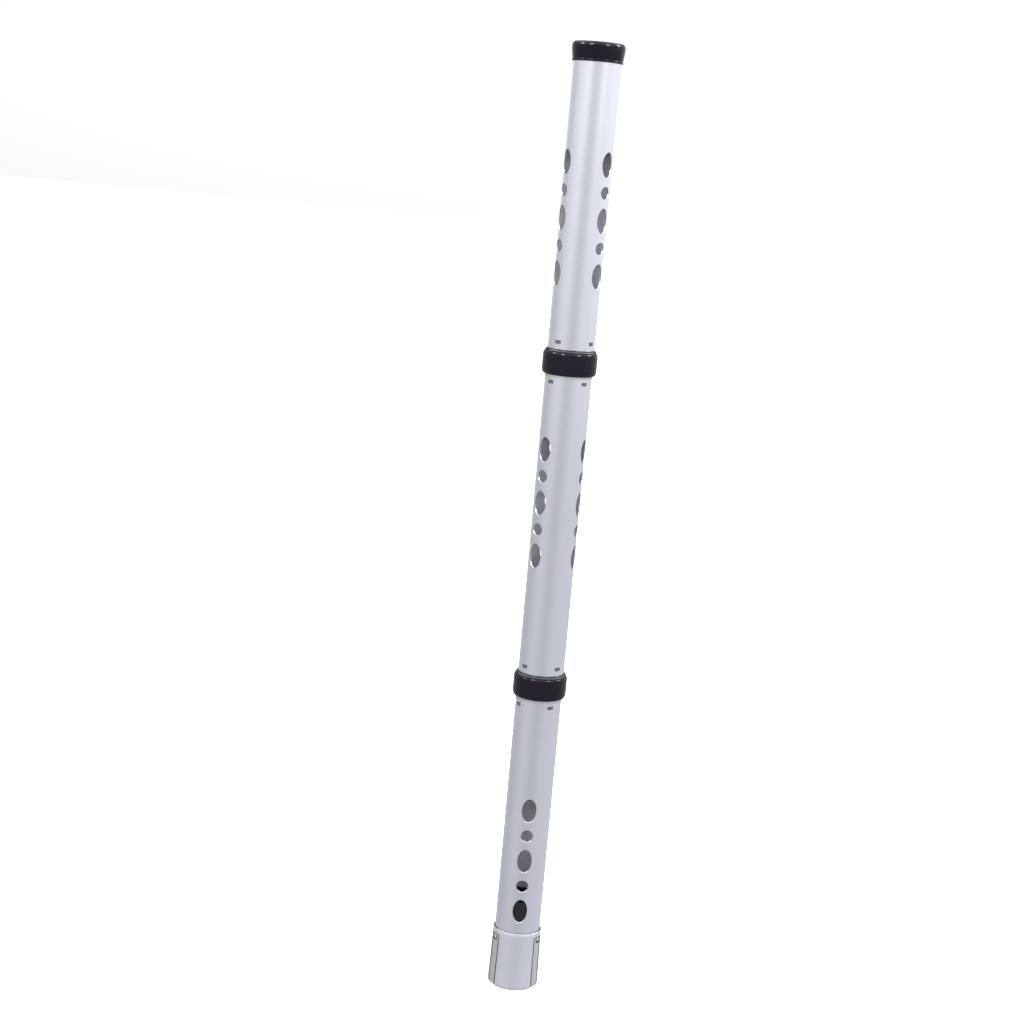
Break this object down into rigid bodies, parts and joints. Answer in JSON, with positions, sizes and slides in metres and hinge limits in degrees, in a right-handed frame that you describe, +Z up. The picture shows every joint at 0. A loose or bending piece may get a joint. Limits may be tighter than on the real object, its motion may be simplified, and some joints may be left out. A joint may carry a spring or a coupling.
{
  "type": "ball pick-up tube",
  "caption": "Long take-apart metal tube with window slots, screw couplings, a sprung mouth that lets balls in and not out, and a pull-off end cap.",
  "frame": {"origin": "centre of the mouth's rim, which is the plane that the tube stands on", "axes": "+Z runs up the tube from the mouth to the cap; -Y is the front, where the lower section has its front column of windows"},
  "size_m": [0.0524, 0.0524, 0.92],
  "materials": {
    "tube_silver": "satin silver anodised",
    "ferrule_silver": "satin silver anodised",
    "spigot_silver": "turned",
    "trim_ring": "gloss black",
    "leaf_steel": "brushed",
    "screw_steel": "zinc plated",
    "gloss_black": "gloss black",
    "socket_black": "satin black",
    "bush_black": "satin black",
    "gasket_rubber": "black"
  },
  "bodies": {
    "lower_section": {"lower_tube": "tube_silver", "mouth_ferrule": "ferrule_silver", "mouth_bush": "bush_black", "leaf_screws": "screw_steel", "lower_spigot": "spigot_silver"},
    "leaf_right": {"leaf_spring_right": "leaf_steel"},
    "leaf_rear": {"leaf_spring_rear": "leaf_steel"},
    "leaf_left": {"leaf_spring_left": "leaf_steel"},
    "lower_seal": {"lower_gasket": "gasket_rubber"},
    "middle_section": {"lower_collar": "gloss_black", "lower_socket": "socket_black", "lower_collar_ring": "trim_ring", "middle_tube": "tube_silver", "upper_spigot": "spigot_silver"},
    "upper_seal": {"upper_gasket": "gasket_rubber"},
    "upper_section": {"upper_collar": "gloss_black", "upper_socket": "socket_black", "upper_collar_ring": "trim_ring", "upper_tube": "tube_silver"},
    "cap": {"end_cap": "gloss_black", "cap_o_ring": "gasket_rubber"}
  },
  "joints": [
    {"name": "lower_coupling_turn", "type": "hinge", "parent": "lower_section", "child": "lower_seal", "pos_m": [0, 0, 0.309], "axis": [0, 0, 1], "range_deg": [0, 79]},
    {"name": "lower_coupling_rise", "type": "slide", "parent": "lower_seal", "child": "middle_section", "axis": [0, 0, 1], "range_m": [0, 0.00593]},
    {"name": "upper_coupling_turn", "type": "hinge", "parent": "middle_section", "child": "upper_seal", "pos_m": [0, 0, 0.6245], "axis": [0, 0, 1], "range_deg": [0, 79]},
    {"name": "upper_coupling_rise", "type": "slide", "parent": "upper_seal", "child": "upper_section", "axis": [0, 0, 1], "range_m": [0, 0.00593]},
    {"name": "end_cap_pull", "type": "slide", "parent": "upper_section", "child": "cap", "axis": [0, 0, 1], "range_m": [0, 0.03]},
    {"name": "leaf_right_flex", "type": "hinge", "parent": "lower_section", "child": "leaf_right", "pos_m": [0.01984, -0.0124, 0.0523], "axis": [-0.5299, -0.848, 0], "range_deg": [0, 3], "stiffness_Nm_per_rad": 0.5, "springref_deg": -1.15},
    {"name": "leaf_rear_flex", "type": "hinge", "parent": "lower_section", "child": "leaf_rear", "pos_m": [0.00082, 0.02339, 0.0523], "axis": [0.9994, -0.0349, 0], "range_deg": [0, 3], "stiffness_Nm_per_rad": 0.5, "springref_deg": -1.15},
    {"name": "leaf_left_flex", "type": "hinge", "parent": "lower_section", "child": "leaf_left", "pos_m": [-0.02066, -0.01099, 0.0523], "axis": [-0.4695, 0.8829, 0], "range_deg": [0, 3], "stiffness_Nm_per_rad": 0.5, "springref_deg": -1.15}
  ],
  "couplings": [
    {"joint": "lower_coupling_rise", "follows": "lower_coupling_turn", "m_per_rad": 0.0042972},
    {"joint": "upper_coupling_rise", "follows": "upper_coupling_turn", "m_per_rad": 0.0042972}
  ]
}
